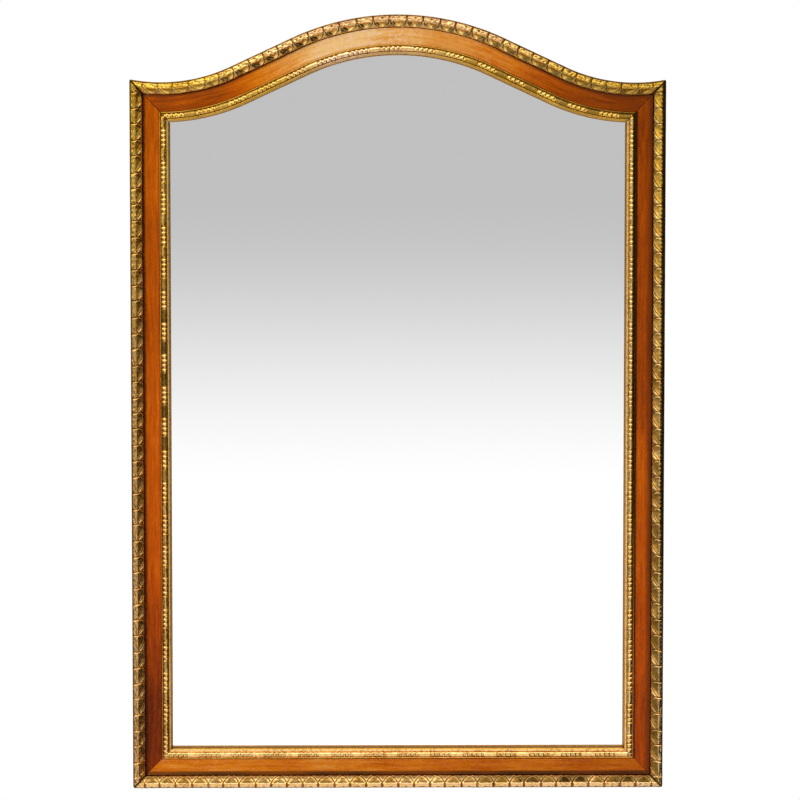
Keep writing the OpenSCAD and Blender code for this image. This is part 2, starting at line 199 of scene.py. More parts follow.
class StileRail:
    """A stile. s runs up from the bottom edge; side is -1 for the left stile and 1 for the right."""

    def __init__(self, side):
        self.side = side

    def place(self, s, w):
        return self.side * (HALF_W - w) + 0 * s, s + 0 * w

    def low(self, w):
        return w + 0.0

    def high(self, w):
        return TIP[1] + (SIGHT_CORNER[1] - TIP[1]) * w / RAIL_W


class BottomRail:
    """The bottom rail. s runs from the middle to the right."""

    def place(self, s, w):
        return s + 0 * w, w + 0 * s

    def low(self, w):
        return w - HALF_W

    def high(self, w):
        return HALF_W - w


RAILS = {
    "top": lambda ref: ArchRail(ref),
    "bottom": lambda ref: BottomRail(),
    "left": lambda ref: StileRail(-1),
    "right": lambda ref: StileRail(1),
}


def limits(rail, w):
    """Where the line w of a rail starts and stops."""
    line = np.array(w)
    return float(rail.low(line)), float(rail.high(line))


def stations_on(rail, w, step):
    """Stations about step apart on the line w of a rail, and their places on it from 0 to 1, as columns."""
    start, end = limits(rail, w)
    stations = np.linspace(start, end, round((end - start) / step) + 1)[:, None]
    return stations, (stations - start) / (end - start)


# Meshes

def add_object(name, data):
    """A new object in the scene."""
    obj = bpy.data.objects.new(name, data)
    bpy.context.scene.collection.objects.link(obj)
    return obj


def make_mesh(name, verts, faces, floats):
    """A mesh object from vertex and face arrays, with named float attributes on its points."""
    mesh = bpy.data.meshes.new(name)
    mesh.from_pydata(verts.tolist(), [], faces)
    for key, values in floats.items():
        mesh.attributes.new(key, "FLOAT", "POINT").data.foreach_set("value", values.astype(np.float32))
    mesh.validate()
    return add_object(name, mesh)


def clean(obj):
    """Welds collapsed points at the mitres, points the faces outwards and shades the mesh."""
    bm = bmesh.new()
    bm.from_mesh(obj.data)
    bmesh.ops.remove_doubles(bm, verts=bm.verts, dist=WELD)
    bmesh.ops.dissolve_degenerate(bm, edges=bm.edges, dist=WELD)
    bmesh.ops.recalc_face_normals(bm, faces=bm.faces)
    bm.to_mesh(obj.data)
    bm.free()
    for poly in obj.data.polygons:
        poly.use_smooth = True
    obj.data.set_sharp_from_angle(angle=SHARP_A)


def round_corner(x, z, side, up, centre_z, radius):
    """Pulls the points outside a round corner in onto it. side and up are 1 or -1, for right and top."""
    centre_x = side * (HALF_W - radius)
    dx, dz = x - centre_x, z - centre_z
    far = np.hypot(dx, dz)
    outside = (side * dx > 0) & (up * dz > 0) & (far > radius)
    x = np.where(outside, centre_x + dx * radius / far, x)
    z = np.where(outside, centre_z + dz * radius / far, z)
    return x, z


def ease_corners(x, z):
    """Rounds the outline at the two bottom corners, and a little at the two tips."""
    for side in (-1, 1):
        x, z = round_corner(x, z, side, -1, CORNER_R, CORNER_R)
        x, z = round_corner(x, z, side, 1, TIP[1] - TIP_R * TIP_SINK, TIP_R)
    return x, z


def sweep(name, which, rail, stations, w, h, floats):
    """A closed solid swept along a rail. stations is a column, and w and h are grids with one row for each
    station and one column for each point of the section. Each point stops at the mitres of its own line."""
    low_gap, high_gap = MITRE_GAP[which]
    s = np.repeat(stations, w.shape[1], axis=1)
    s = np.clip(s, rail.low(w) + low_gap, rail.high(w) - high_gap)
    x, z = ease_corners(*rail.place(s, w))
    verts = np.stack([x, -h, z], axis=-1).reshape(-1, 3) * MM
    rows, cols = w.shape
    i = np.arange(rows - 1)[:, None] * cols
    j = np.arange(cols)[None, :]
    k = (j + 1) % cols
    quads = np.stack([i + j, i + k, i + cols + k, i + cols + j], axis=-1).reshape(-1, 4)
    faces = quads.tolist()
    faces.append(list(range(cols))[::-1])
    faces.append(list(range((rows - 1) * cols, rows * cols)))
    floats = dict(floats, along=s, across=w)
    flat = {key: np.broadcast_to(values, w.shape).reshape(-1) for key, values in floats.items()}
    obj = make_mesh(name, verts, faces, flat)
    clean(obj)
    return obj


def units(low, high, count, seed, jitter):
    """Boundaries of units of one size, count of them between low and high and one more past each end, each
    boundary moved a little as hand work is."""
    rng = np.random.default_rng(seed)
    step = (high - low) / count
    edges = low + step * np.arange(-1, count + 2)
    return edges + rng.uniform(-jitter, jitter, len(edges)) * step


def locate(edges, s):
    """For each s: its unit, its place in it from -0.5 to 0.5, and the unit's length."""
    k = np.clip(np.searchsorted(edges, s) - 1, 0, len(edges) - 2)
    size = edges[k + 1] - edges[k]
    return k, (s - edges[k]) / size - 0.5, size


def resample(points, step):
    """Points along a polyline at about the given spacing, keeping its corners."""
    out = [points[0]]
    for a, b in zip(points, points[1:]):
        n = max(1, round(math.dist(a, b) / step))
        out += [(a[0] + (b[0] - a[0]) * i / n, a[1] + (b[1] - a[1]) * i / n) for i in range(1, n + 1)]
    return np.array(out)


def section_columns(points, cols):
    """A section as exactly cols points, evenly spread."""
    steps = np.concatenate([[0], np.cumsum(np.hypot(*np.diff(points, axis=0).T))])
    at = np.linspace(0, steps[-1], cols)
    return np.stack([np.interp(at, steps, points[:, 0]), np.interp(at, steps, points[:, 1])], axis=-1)


# Carved edge

# The line that the lappets are counted on, and the inner end of their lobes
LAPPET_LINE = CARVED_W - 0.9
LOBE_END = CARVED_W - 0.3
# A lobe's outline is between a lozenge, at 1, and an ellipse, at 2
LOBE_POWER = 1.6
# The parts of a lobe by distance from its middle, its outline being at 1
DISH_EDGE = (0.5, 0.88)
INNER_EDGE = (0.84, 0.95)
RIM_AT, RIM_SPREAD = 0.94, 0.08
GROOVE_AT, GROOVE_SPREAD = 1.1, 0.06
DART_EDGE = (1.12, 1.22)
# Depths below the smooth section and rises above it
CUT_DEEP, GROOVE_DEEP, PIT_DEEP, ROUNDING_DEEP, DART_DEEP = 1.6, 0.9, 1.8, 0.7, 0.15
RIM_RISE, DART_RISE = 0.45, 0.45
# Half widths along the rail: the cuts between units, the rounding beside them and the ridge of the darts
CUT_RUN, ROUNDING_RUN, DART_RUN = 1.0, 3.0, 3.2
PIT_R = 1.5
# The crest bows between two cuts and wanders along the rail
CREST_BOW, CREST_WANDER, CREST_WANDER_RUN = 0.5, 0.45, 15
# Boundaries of the units stray by this share of a unit
UNIT_JITTER = 0.05
# On the top rail the lobes begin to lean, and lean in full, at these distances from the middle
LEAN_START, LEAN_FULL = 60, 170
# Outside the crest the cuts lean by this share
OUTER_LEAN = 0.15
# Tool marks, higher on the crest, and long waves: how high, and how far apart
MARK_RISE, CREST_MARK_RISE, MARK_RUN = 0.06, 0.2, 5.5
WAVE_RISE, WAVE_RUN = 0.3, 40
SECTION_STEP = 0.6


def carved_section(flank, crest):
    """The smooth section of the carved edge: the outer slope, flank wide, the crest and the inner slope."""
    return [
        (0.0, SEAT_H), (0.0, FRAME_D - 9), (0.25, FRAME_D - 6.4), (flank * 0.45, FRAME_D - 3.9),
        (flank, FRAME_D - 1.5), (flank + 0.8, FRAME_D - 0.9), (crest - 0.8, FRAME_D - 0.2),
        (crest + 0.5, FRAME_D - 1.1), (12.8, FRAME_D - 4.4), (15.0, FRAME_D - 6.5),
        (16.2, FRAME_D - 7.9), (CARVED_W, FRAME_D - 8.6), (CARVED_W, SEAT_H),
    ]


def carved_grid(look, place):
    """The smooth carved edge as grids of w and h, one row for each place along the rail."""
    sections = [resample(carved_section(flank, look.crest), SECTION_STEP) for flank in look.flanks]
    cols = min(len(section) for section in sections)
    first, last = (section_columns(section, cols) for section in sections)
    return blend((first[:, 0], last[:, 0]), place), blend((first[:, 1], last[:, 1]), place)


def unit_values(k, count, place, look):
    """What each carved unit has of its own: how wide its lobe and how deep its carving is, where its pit is
    and how deep, and how plain it is. Units at the mitres are plain."""
    rng = np.random.default_rng(look.seed + 1)
    wide = rng.uniform(0.93, 1.03, count + 2)[k]
    deep = rng.uniform(0.75, 1.15, count + 2)[k]
    pit_at = rng.uniform(-1.0, 1.0, count + 2)[k] * look.pit_stray
    pit_deep = rng.uniform(0.7, 1.15, count + 2)[k] * blend(look.pits, place)
    past_end = (k == 0) | (k == count + 1)
    at_end = (k == 1) | (k == count)
    plain = np.where(past_end, 1.0, np.where(at_end, 0.35, 0.0))
    plain = np.maximum(plain, np.interp(place, *look.weak))
    return Values(wide=wide, deep=deep, pit_at=pit_at, pit_deep=pit_deep, plain=plain)


def lobe_parts(t, size, s, w, look, unit):
    """How much of each part of a lappet is at each place. p goes from 0 at the crest to 1 at the end of the
    lobe, and q is the distance from the lobe's middle."""
    edge = (0.5 - np.abs(t)) * size
    run = t * size
    line = look.crest + CREST_WANDER * ripple(look.seed + 5, s, 0, CREST_WANDER_RUN)
    crest = line + CREST_BOW * np.cos(2 * math.pi * t)
    p = np.maximum(w - crest, 0) / (LOBE_END - crest)
    q = (np.abs(run / (look.lobe * size * unit.wide))**LOBE_POWER + p**LOBE_POWER)**(1 / LOBE_POWER)
    slope = smooth(crest - 0.3, crest + 1.2, w)
    pit_off = ((run - unit.pit_at) / PIT_R)**2 + ((w - look.pit_w) / PIT_R)**2
    return Values(
        p=p, q=q, slope=slope,
        cut=np.clip(1 - edge / CUT_RUN, 0, 1) * smooth(0.3, 1.4, w) * (1 - smooth(crest, crest + 2, w)),
        dish=(1 - smooth(*DISH_EDGE, q)) * smooth(crest - 0.2, crest + 1.8, w),
        rim=bell(q, RIM_AT, RIM_SPREAD) * slope,
        groove=bell(q, GROOVE_AT, GROOVE_SPREAD) * slope,
        dart=smooth(*DART_EDGE, q) * slope,
        ridge=np.clip(1 - edge / DART_RUN, 0, 1),
        pit=np.exp(-pit_off**2),
        rounding=np.clip(1 - edge / ROUNDING_RUN, 0, 1)**2 * (1 - slope) * smooth(0.4, 1.8, w),
        lit=smooth(-0.25, 0.1, t) if look.upright else 1.0,
        fade=1 - smooth(CARVED_W - 0.5, CARVED_W - 0.05, w),
    )


def carving_depth(part, look, unit):
    """Height of the carving over the smooth section, along the surface normal."""
    depth = (
        -CUT_DEEP * unit.deep * part.cut - look.dish * unit.deep * part.dish - GROOVE_DEEP * part.groove
        + RIM_RISE * part.rim + part.dart * (DART_RISE * part.ridge - DART_DEEP)
        - PIT_DEEP * unit.pit_deep * part.pit - ROUNDING_DEEP * part.rounding
    )
    return depth * (1 - 0.8 * unit.plain) * part.fade


def carving_tones(part, place, s, w, look, unit):
    """How dark the carving is at each place, from dirt and painted shade, and how pale, from wear and
    painted highlights, both from 0 to 1.
    """
    shade = np.interp(place, *look.shade) * (1 + 0.45 * ripple(look.seed + 4, s, w, 24))
    inner = 1 - smooth(*INNER_EDGE, part.q)
    in_lobe = inner * (1 - look.shade_fall * smooth(0.2, 0.65, part.p))
    round_lobe = 0.55 * (1 - part.lit * part.rim) * (1 - inner) * (1 - look.shade_fall * part.dart)
    # Painted shade in the lobes and under the crest, with their dirt; the cuts, grooves and pits add dirt
    # and painted shade too
    patina_and_shade = shade * part.slope * (in_lobe + round_lobe)
    hollow = 0.8 * part.cut**2 + 0.55 * part.groove + patina_and_shade + 1.2 * part.pit * unit.pit_deep
    grime_and_shade = np.clip(hollow, 0, 1) * (1 - 0.6 * unit.plain) * part.fade
    # Painted highlights, with some wear: the crest by glow, the lit upper side of the rims, the lobe ends on
    # the top rail and the darts
    crown = (1 - part.slope) * (1 - 1.4 * part.cut) * smooth(1.5, 3, w) * np.interp(place, *look.glow)
    lobe_ends = smooth(0.5, 0.8, part.q) * inner * smooth(0.3, 0.6, part.p) * look.shade_fall
    darts = part.dart * (0.7 + 0.3 * part.ridge)
    return grime_and_shade, np.clip(crown + 0.9 * part.rim * part.lit + lobe_ends + darts, 0, 1)


def carved_edge(which, look, step=0.7):
    """One length of the carved edge. In look, lean slants the lobes, lobe is their half width as a share of
    a unit and dish their depth. flanks gives the width of the outer slope and pits the depth of the pits,
    each at both ends, and pit_w and pit_stray where the pits are. shade_fall says how much less painted
    shade and dirt the ends of the lobes have, and upright that only the upper side of a rim gets a painted
    highlight. The rest are places along the rail and strengths there: red of the ground on the crest,
    shade of the painted shade and dirt in the lobes, side_dirt of the dirt and painted shadow on
    the outer slope, glow of the painted highlight on the crest, blush of how pink the gold is, weak of how
    worn the carving is and tarnish of how brown the gold is all over."""
    rail = RAILS[which](LAPPET_LINE)
    low, high = limits(rail, LAPPET_LINE)
    count = round((high - low) / LAPPET_PITCH)
    edges = units(low, high, count, look.seed, UNIT_JITTER)
    stations, place = stations_on(rail, 0.0, step)
    w0, h0 = carved_grid(look, place)
    s = stations + 0 * w0

    lean = look.lean
    if which == "top":
        lean = lean * np.sign(s) * smooth(LEAN_START, LEAN_FULL, np.abs(s))
    off_crest = np.maximum(w0 - look.crest, 0) + OUTER_LEAN * (w0 - look.crest)
    k, t, size = locate(edges, s + lean * off_crest)
    unit = unit_values(k, count, place, look)
    part = lobe_parts(t, size, s, w0, look, unit)

    on_top = smooth(0.0, 0.9, w0) * smooth(SEAT_H + 2, SEAT_H + 6, h0)
    marks = MARK_RISE + CREST_MARK_RISE * smooth(look.crest + 0.5, look.crest - 1.5, w0)
    depth = carving_depth(part, look, unit) * on_top
    depth = depth + marks * ripple(look.seed + 2, s, w0 * 1.3, MARK_RUN) * on_top
    depth += WAVE_RISE * ripple(look.seed + 3, s, w0, WAVE_RUN) * on_top
    tan_w, tan_h = np.gradient(w0, axis=1), np.gradient(h0, axis=1)
    length = np.hypot(tan_w, tan_h)
    w = np.clip(w0 + -tan_h / length * depth, 0, CARVED_W)
    h = np.minimum(h0 + tan_w / length * depth, FRAME_D + 0.4)

    grime_and_shade, proud_and_highlight = carving_tones(part, place, s, w0, look, unit)
    flank = blend(look.flanks, place)
    # Dirt and a painted shadow on the outer slope, near black on the right stile
    outside = np.interp(place, *look.side_dirt) * smooth(flank + 0.7, flank - 0.5, w0)
    joint = smooth(JOINT_DIRT, 0.4 * JOINT_DIRT, np.minimum(s - rail.low(w0), rail.high(w0) - s))
    on_crest = smooth(look.crest + 1.5, look.crest - 1.0, w0)
    tarnish_and_shade = np.maximum(grime_and_shade, np.interp(place, *look.tarnish)) * on_top
    floats = {
        "grime_and_shade": np.clip(tarnish_and_shade + outside + joint, 0, 1),
        "proud_and_highlight": proud_and_highlight * on_top * (1 - outside),
        "red": np.interp(place, *look.red) * on_crest,
        "blush": np.interp(place, *look.blush) * (0.5 + 0.5 * on_crest),
    }
    return sweep("gilt_carved_" + which, which, rail, stations, w, h, floats)


# Beaded sight edge

# The turned row's points, and the angles of its feet on the side of the frieze and on that of the glass
ROD_STEPS = 17
ROD_START, ROD_END = math.radians(176), math.radians(4)
# A power under 1 squares the round of the row
ROD_SQUARE = 0.6
# The bead groups keep this far from the mitres, and their boundaries stray by this share of a group
GROUP_MARGIN, GROUP_JITTER = 1, 0.02
# Beads stray this far along the row, and are a little fuller than half rounds
BEAD_STRAY = 0.3
BEAD_FULL = 1.06
# Radius of the bars at their ends and what they gain from there, in bead radii
BAR_END, BAR_GAIN = 0.86, 0.14
# The row's radius between beads on the side of the glass, and the angles between which it changes
INNER_WAIST = 2.75
WAIST_EASE = (math.radians(125), math.radians(60))
# Dirt and painted shadow on the outer side of the row: angles in degrees where they end and are full, and
# what more of them adds to these angles
ROW_DIRT_AND_SHADE, DIRT_AND_SHADE_CREEP = (106, 142), 24
# Two fine lines run along a bar: angle from its top, spread in radians, and depth as a share
REED_AT, REED_SPREAD, REED_DEEP = 0.5, 0.1, 0.1
# Below this height the sight wall lies in the shade of the rabbet, and is this dark
SHADED_H = RABBET_D + 8.5
SHADED = 0.78


def sight_section(seam):
    """The section of the sight edge on both sides of the turned row: the seat, the fillet and the groove,
    and then the crevice, deeper with more seam, the lip and the sight wall."""
    fillet_end = FRIEZE_W1 + FILLET_W
    lip_start = RAIL_W - LIP_W
    before = [
        (RAIL_W - LIP_T, SIGHT_SEAT_H), (FRIEZE_W1, SIGHT_SEAT_H), (FRIEZE_W1, BED_H + 0.5),
        (FRIEZE_W1 + 0.3, BED_H + 0.9), (FRIEZE_W1 + 0.8, BED_H + 1.05), (fillet_end - 0.3, BED_H + 0.8),
        (fillet_end, BED_H - 0.1), (BEAD_LINE - BEAD_HALF_W - 0.1, BED_H - 0.3),
    ]
    after = [
        (BEAD_LINE + BEAD_HALF_W + 0.1, BED_H + 0.5 - 1.4 * seam), (lip_start + 0.5, BED_H + 0.7),
        (lip_start + 0.9, BED_H + 0.95), (lip_start + 1.1, BED_H + 0.97), (RAIL_W - 0.9, BED_H + 0.97),
        (RAIL_W - 0.7, BED_H + 0.95), (RAIL_W - 0.25, BED_H + 0.6), (RAIL_W, BED_H - 0.5),
        (RAIL_W, RABBET_D + 9.5), (RAIL_W, RABBET_D + 8.0), (RAIL_W, RABBET_D), (RAIL_W - LIP_T, RABBET_D),
    ]
    return before, after


def bead_radius(run, size, stray):
    """Radius of the turned row at a distance along its group, four beads and a bar with eased ends, and how
    much of a bead and of the bar there is. Between them the radius is 0."""
    first = BEAD_R + BAR_GAP * 0.5
    radius = np.zeros(run.shape)
    for i in range(BEAD_COUNT):
        off = run - first - i * BEAD_PITCH - stray * BEAD_STRAY
        radius = np.maximum(radius, np.sqrt(np.maximum(BEAD_R**2 * BEAD_FULL - off**2, 0)))
    bead = smooth(1.2, 2.6, radius)
    bar_low = first + (BEAD_COUNT - 1) * BEAD_PITCH + BEAD_R + BAR_GAP * 0.5
    bar_high = size - BAR_GAP * 0.3
    inside = np.minimum(run - bar_low, bar_high - run)
    bar = smooth(0, 0.5, inside)
    radius = np.maximum(radius, bar * (BEAD_R * BAR_END + BAR_GAIN * BEAD_R * smooth(0, 1.4, inside)))
    return radius, bead, bar


def beaded_edge(which, look, step=0.5):
    """One length of the beaded sight edge with its fillet, turned row and lip. In look, seam deepens the
    crevice beside the lip and darkens it with painted shade, lip_dirt darkens the lip with dirt and painted
    shade, and pale says how pale the bars and the lip are, from wear and painted highlights. The rest
    are places along the rail and values there: dirt for the dirt and painted shadow on the fillet
    and the outer side of the row, notch for the painted shade in the gaps between beads, waist for the row's
    radius in them, bar_dirt for the dirt and painted shade on the bars, and blush for how pink the
    gold is."""
    rail = RAILS[which](BEAD_LINE)
    low, high = limits(rail, BEAD_LINE)
    count = round((high - low) / GROUP_PITCH)
    edges = units(low + GROUP_MARGIN, high - GROUP_MARGIN, count, look.seed, GROUP_JITTER)
    stations, place = stations_on(rail, FRIEZE_W1, step)
    before, after = sight_section(look.seam)
    row_start = len(before)
    row_end = row_start + ROD_STEPS
    row = slice(row_start, row_end)
    w = np.zeros((len(stations), row_end + len(after)))
    h = np.zeros(w.shape)
    w[:, :row_start], h[:, :row_start] = np.array(before).T[:, None, :]
    w[:, row_end:], h[:, row_end:] = np.array(after).T[:, None, :]

    k, t, size = locate(edges, stations)
    stray = np.random.default_rng(look.seed + 1).uniform(-1, 1, count + 2)[k]
    radius, bead, bar = bead_radius((t + 0.5) * size, size, stray)
    radius = radius * (1 + 0.03 * ripple(look.seed + 2, stations, 0, 6))
    angle = np.linspace(ROD_START, ROD_END, ROD_STEPS)[None, :]
    waist = np.interp(place, *look.waist)
    neck = waist + (INNER_WAIST - waist) * smooth(*WAIST_EASE, angle)
    reed = bell(np.abs(angle - math.pi / 2), REED_AT, REED_SPREAD)
    rod = np.maximum(radius, neck) * (1 - bar * REED_DEEP * reed)
    w[:, row] = BEAD_LINE + rod * np.cos(angle) * BEAD_SPREAD
    h[:, row] = BED_H - 0.1 + rod * np.sin(angle)**ROD_SQUARE
    top = smooth(SIGHT_SEAT_H + 2, BED_H - 0.5, h)
    h = h + 0.1 * ripple(look.seed + 3, stations, w, 11) * top

    # Dirt and painted shadow on the fillet and the outer side of the row, near black on the right stile, and
    # painted shade in the gaps between beads, the quirk and the crevice beside the lip
    soiled_and_shaded = np.interp(place, *look.dirt)
    gaps = np.clip(1.0 - rod / BEAD_R, 0, 1) * np.interp(place, *look.notch)
    inner_foot = (1 - smooth(0.0, 0.4, np.sin(angle))) * 0.8 * look.seam
    outer_side = smooth(*ROW_DIRT_AND_SHADE, np.degrees(angle) + DIRT_AND_SHADE_CREEP * soiled_and_shaded) * soiled_and_shaded
    row_dirt_and_shade = np.maximum(gaps + 0.12 * bar * reed, np.maximum(inner_foot, outer_side))
    grime_and_shade = np.zeros(w.shape)
    # The bars get dirt and painted shade, darkest on the left stile
    grime_and_shade[:, row] = row_dirt_and_shade + np.interp(place, *look.bar_dirt) * bar
    grime_and_shade[:, 1:row_start - 2] = soiled_and_shaded
    grime_and_shade[:, row_start - 2:row_start] = np.maximum(0.4 + 0.6 * soiled_and_shaded, 1.6 * look.seam)
    # The lip gets dirt and painted shade
    grime_and_shade[:, row_end:] = look.lip_dirt
    grime_and_shade[:, row_end] = look.seam
    grime_and_shade = np.where((w > RAIL_W - 0.01) & (h < SHADED_H), SHADED, grime_and_shade)

    # Painted highlights, with wear, on the top of the row and on the lip
    proud_and_highlight = np.zeros(w.shape)
    shine = np.maximum(min(1, look.pale + 0.3) * bead, look.pale * bar)
    proud_and_highlight[:, row] = smooth(0.5, 0.95, np.sin(angle)) * shine
    on_lip = (w > RAIL_W - LIP_W + 0.4) & (w < RAIL_W - 0.2)
    floats = {
        "grime_and_shade": np.clip(grime_and_shade, 0, 1),
        "proud_and_highlight": np.where(on_lip, look.pale * (1 - look.lip_dirt), proud_and_highlight),
        "red": np.full(w.shape, 0.15),
        "blush": np.interp(place, *look.blush) * (w > BEAD_LINE - BEAD_HALF_W),
    }
    return sweep("gilt_beading_" + which, which, rail, stations, w, h, floats)


# Frieze

FRIEZE_COLS = 23
# The facing's two edges are eased by this much
OUTER_EASE, INNER_EASE = 0.35, 0.2


def frieze_height(w):
    """Height of the hollow facing on the line w."""
    return FRIEZE_H0 - FRIEZE_FALL * (1 - ((FRIEZE_W1 - w) / (FRIEZE_W1 - FRIEZE_W0))**2)


def frieze(which, look, step=3.0):
    """One length of the polished facing, slightly hollow, with eased edges. In look, tone, amber and scuff
    are places along the rail and how pale, yellow and scuffed it is there; tone also paints a sheen of light
    on the crown and shade low on the left stile. outer_dirt and inner_dirt say how far
    the dirt and painted shadow along an edge is full, where it ends and how strong it is, and clean how much
    less of it the crown has."""
    rail = RAILS[which]((FRIEZE_W0 + FRIEZE_W1) / 2)
    stations, place = stations_on(rail, FRIEZE_W0, step)
    across = np.linspace(FRIEZE_W0, FRIEZE_W1, FRIEZE_COLS)
    face = frieze_height(across)
    face[0] -= OUTER_EASE
    face[-1] -= INNER_EASE
    back = across[::-4]
    w = np.repeat(np.concatenate([across, back])[None, :], len(stations), axis=0)
    h_line = np.concatenate([face, frieze_height(back) - FACING_T])
    top = np.zeros(w.shape)
    top[:, 1:FRIEZE_COLS - 1] = 1
    h = h_line[None, :] + 0.07 * ripple(look.seed, stations, w * 2, 60) * top
    along = place + 0 * w

    # Dirt and painted shadow along both edges, with less of it on the crown of the top rail
    on_crown = smooth(0.28, 0.38, along) * smooth(0.72, 0.62, along)
    outer_full, outer_end, outer = look.outer_dirt
    inner_full, inner_end, inner = look.inner_dirt
    outer_dirt = outer * (1 - look.clean * on_crown) * smooth(outer_end, outer_full, w - FRIEZE_W0)
    inner_dirt = inner * smooth(inner_end, inner_full, FRIEZE_W1 - w)
    to_edge = np.minimum(w - FRIEZE_W0, FRIEZE_W1 - w) / (FRIEZE_W1 - FRIEZE_W0)
    floats = {
        "tone": np.interp(along, *look.tone),
        "amber": np.interp(along, *look.amber),
        "dirt": np.maximum(outer_dirt, inner_dirt),
        "scuff": np.interp(along, *look.scuff) * (0.75 + 0.5 * smooth(0.25, 0.05, to_edge)),
    }
    return sweep("polished_frieze_" + which, which, rail, stations, w, h, floats)


# Materials

class Nodes:
    """Short calls for building a node tree."""

    def __init__(self, tree):
        self.tree = tree
        tree.nodes.clear()

    def put(self, socket, value):
        """Links another node's socket, or sets a value."""
        if isinstance(value, bpy.types.NodeSocket):
            self.tree.links.new(value, socket)
        else:
            socket.default_value = value

    def new(self, kind, *values):
        """A new node, with values for its first sockets."""
        node = self.tree.nodes.new("ShaderNode" + kind)
        for socket, value in zip(node.inputs, values):
            self.put(socket, value)
        return node

    def attribute(self, name):
        node = self.new("Attribute")
        node.attribute_name = name
        return node.outputs["Fac"]

    def object_place(self):
        return self.new("TexCoord").outputs["Object"]

    def normal(self):
        return self.new("NewGeometry").outputs["Normal"]

    def math(self, kind, *values, clamp=False):
        node = self.new("Math", *values)
        node.operation = kind
        node.use_clamp = clamp
        return node.outputs[0]

    def plus(self, a, b):
        return self.math("ADD", a, b)

    def times(self, a, b):
        return self.math("MULTIPLY", a, b)

    def weigh(self, *terms):
        """The sum of values, each times its weight."""
        total = 0.0
        for value, weight in terms:
            total = self.math("MULTIPLY_ADD", value, weight, total)
        return total

    def vector(self, x, y, z):
        return self.new("CombineXYZ", x, y, z).outputs[0]

    def parts(self, vector):
        return self.new("SeparateXYZ", vector).outputs

    def stretch(self, vector, scale):
        node = self.new("Mapping", vector)
        node.inputs["Scale"].default_value = scale
        return node.outputs[0]

    def noise(self, vector, scale, detail=3, roughness=0.55, distortion=0.0):
        node = self.new("TexNoise")
        names = ("Vector", "Scale", "Detail", "Roughness", "Distortion")
        for name, value in zip(names, (vector, scale, detail, roughness, distortion)):
            self.put(node.inputs[name], value)
        return node.outputs["Fac"]

    def ramp(self, value, *stops):
        node = self.new("ValToRGB", value)
        node.color_ramp.elements[0].position = stops[0][0]
        node.color_ramp.elements[1].position = stops[-1][0]
        for place, _ in stops[1:-1]:
            node.color_ramp.elements.new(place)
        for element, (_, colour) in zip(node.color_ramp.elements, stops):
            element.color = (*colour, 1)
        return node.outputs[0]

    def grade(self, value, low, high, to_low=0.0, to_high=1.0):
        node = self.new("MapRange", value, low, high, to_low, to_high)
        node.interpolation_type = "SMOOTHSTEP"
        return node.outputs[0]

    def mix(self, factor, a, b):
        node = self.new("Mix")
        node.data_type = "RGBA"
        self.put(node.inputs[0], factor)
        for socket, colour in ((node.inputs[6], a), (node.inputs[7], b)):
            self.put(socket, colour if isinstance(colour, bpy.types.NodeSocket) else (*colour, 1))
        return node.outputs[2]

    def between(self, factor, first, second):
        """The first shader where the factor is 0, and the second where it is 1."""
        return self.new("MixShader", factor, first.outputs[0], second.outputs[0])


class Surface(Nodes):
    """The nodes of one material, with its shader and its output."""

    def __init__(self, name):
        self.material = bpy.data.materials.new(name)
        self.material.use_nodes = True
        super().__init__(self.material.node_tree)
        self.out = self.new("OutputMaterial")
        self.shader = self.new("BsdfPrincipled")
        self.tree.links.new(self.shader.outputs[0], self.out.inputs[0])

    def set(self, **values):
        for key, value in values.items():
            self.put(self.shader.inputs[key.replace("_", " ")], value)

    def bump(self, height, strength, distance):
        node = self.new("Bump")
        for name, value in (("Height", height), ("Strength", strength), ("Distance", distance)):
            self.put(node.inputs[name], value)
        self.put(self.shader.inputs["Normal"], node.outputs[0])


def srgb(r, g, b):
    """A colour given as 0 to 255 screen values, in the renderer's linear values."""
    return tuple((v / 255 / 12.92) if v <= 10 else ((v / 255 + 0.055) / 1.055)**2.4 for v in (r, g, b))


